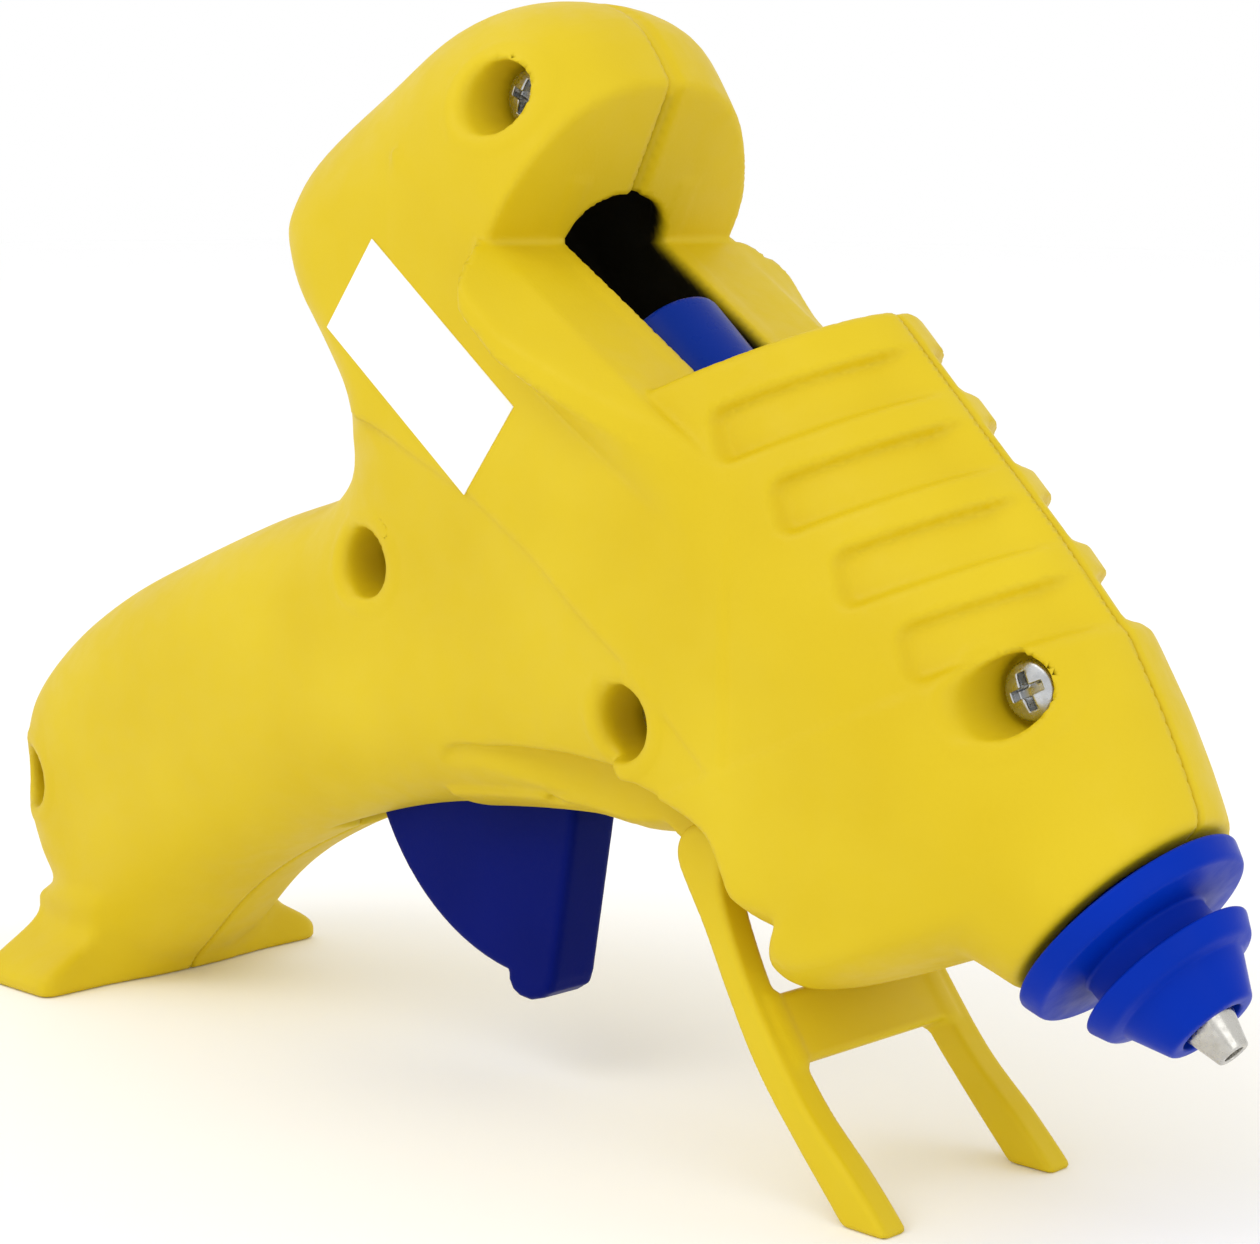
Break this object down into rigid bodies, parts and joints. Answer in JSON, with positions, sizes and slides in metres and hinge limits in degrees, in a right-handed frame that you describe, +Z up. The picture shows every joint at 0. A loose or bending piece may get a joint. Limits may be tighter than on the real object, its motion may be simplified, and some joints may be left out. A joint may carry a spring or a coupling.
{
  "type": "glue gun",
  "caption": "Compact hot-melt glue gun with a ribbed barrel hood, stick inlet through an arched head, hinged trigger, sliding feed carriage, booted metal nozzle and a folding stand.",
  "frame": {"origin": "middle of the footprint, on the surface that the foot and the stand rest on", "axes": "+X towards the nozzle, +Y to the tool's left, +Z up"},
  "size_m": [0.1286, 0.0372, 0.087],
  "materials": {
    "yellow_plastic": "moulded, fine satin texture",
    "blue_plastic": "moulded, satin gloss",
    "blue_silicone": "soft sheen",
    "clear_silicone": "translucent, soft sheen",
    "steel": "zinc plated",
    "nozzle_metal": "turned, slightly worn",
    "aluminium": "die cast",
    "copper": "stamped strip",
    "ceramic": "sintered, matt",
    "insulation_film": "amber film",
    "red_wire": "sleeved",
    "black_wire": "sleeved",
    "label_film": "blank printed film"
  },
  "bodies": {
    "shell": {"right_shell": "yellow_plastic", "left_shell": "yellow_plastic", "head_screw": "steel", "front_screw": "steel", "upper_middle_screw": "steel", "lower_middle_screw": "steel", "grip_screw": "steel", "label": "label_film", "trigger_pin": "steel", "nozzle_boot": "blue_silicone", "nozzle_tip": "nozzle_metal", "check_ball": "steel", "check_spring": "steel", "melt_chamber": "aluminium", "front_support_ring": "ceramic", "rear_support_ring": "ceramic", "feed_sleeve": "clear_silicone", "sleeve_clamp": "steel", "ptc_element": "ceramic", "upper_electrode": "copper", "lower_electrode": "copper", "heater_insulation": "insulation_film", "live_lead": "red_wire", "neutral_lead": "black_wire", "live_crimp": "copper", "neutral_crimp": "copper"},
    "trigger": {"trigger": "blue_plastic", "drive_pin": "steel"},
    "carriage": {"feed_carriage": "blue_plastic", "grip_jaw": "steel"},
    "stand": {"stand": "yellow_plastic"}
  },
  "joints": [
    {"name": "trigger_pivot", "type": "hinge", "parent": "shell", "child": "trigger", "pos_m": [-0.00054, 0, 0.0292], "axis": [0, 1, 0], "range_deg": [0, 18], "stiffness_Nm_per_rad": 0.35, "springref_deg": -8.59},
    {"name": "carriage_slide", "type": "slide", "parent": "shell", "child": "carriage", "axis": [0.7581, 0, -0.6521], "range_m": [0, 0.00657]},
    {"name": "stand_hinge", "type": "hinge", "parent": "shell", "child": "stand", "pos_m": [0.02416, 0, 0.0256], "axis": [0, 1, 0], "range_deg": [0, 100]}
  ],
  "couplings": [
    {"joint": "carriage_slide", "follows": "trigger_pivot", "m_per_rad": 0.020903}
  ]
}
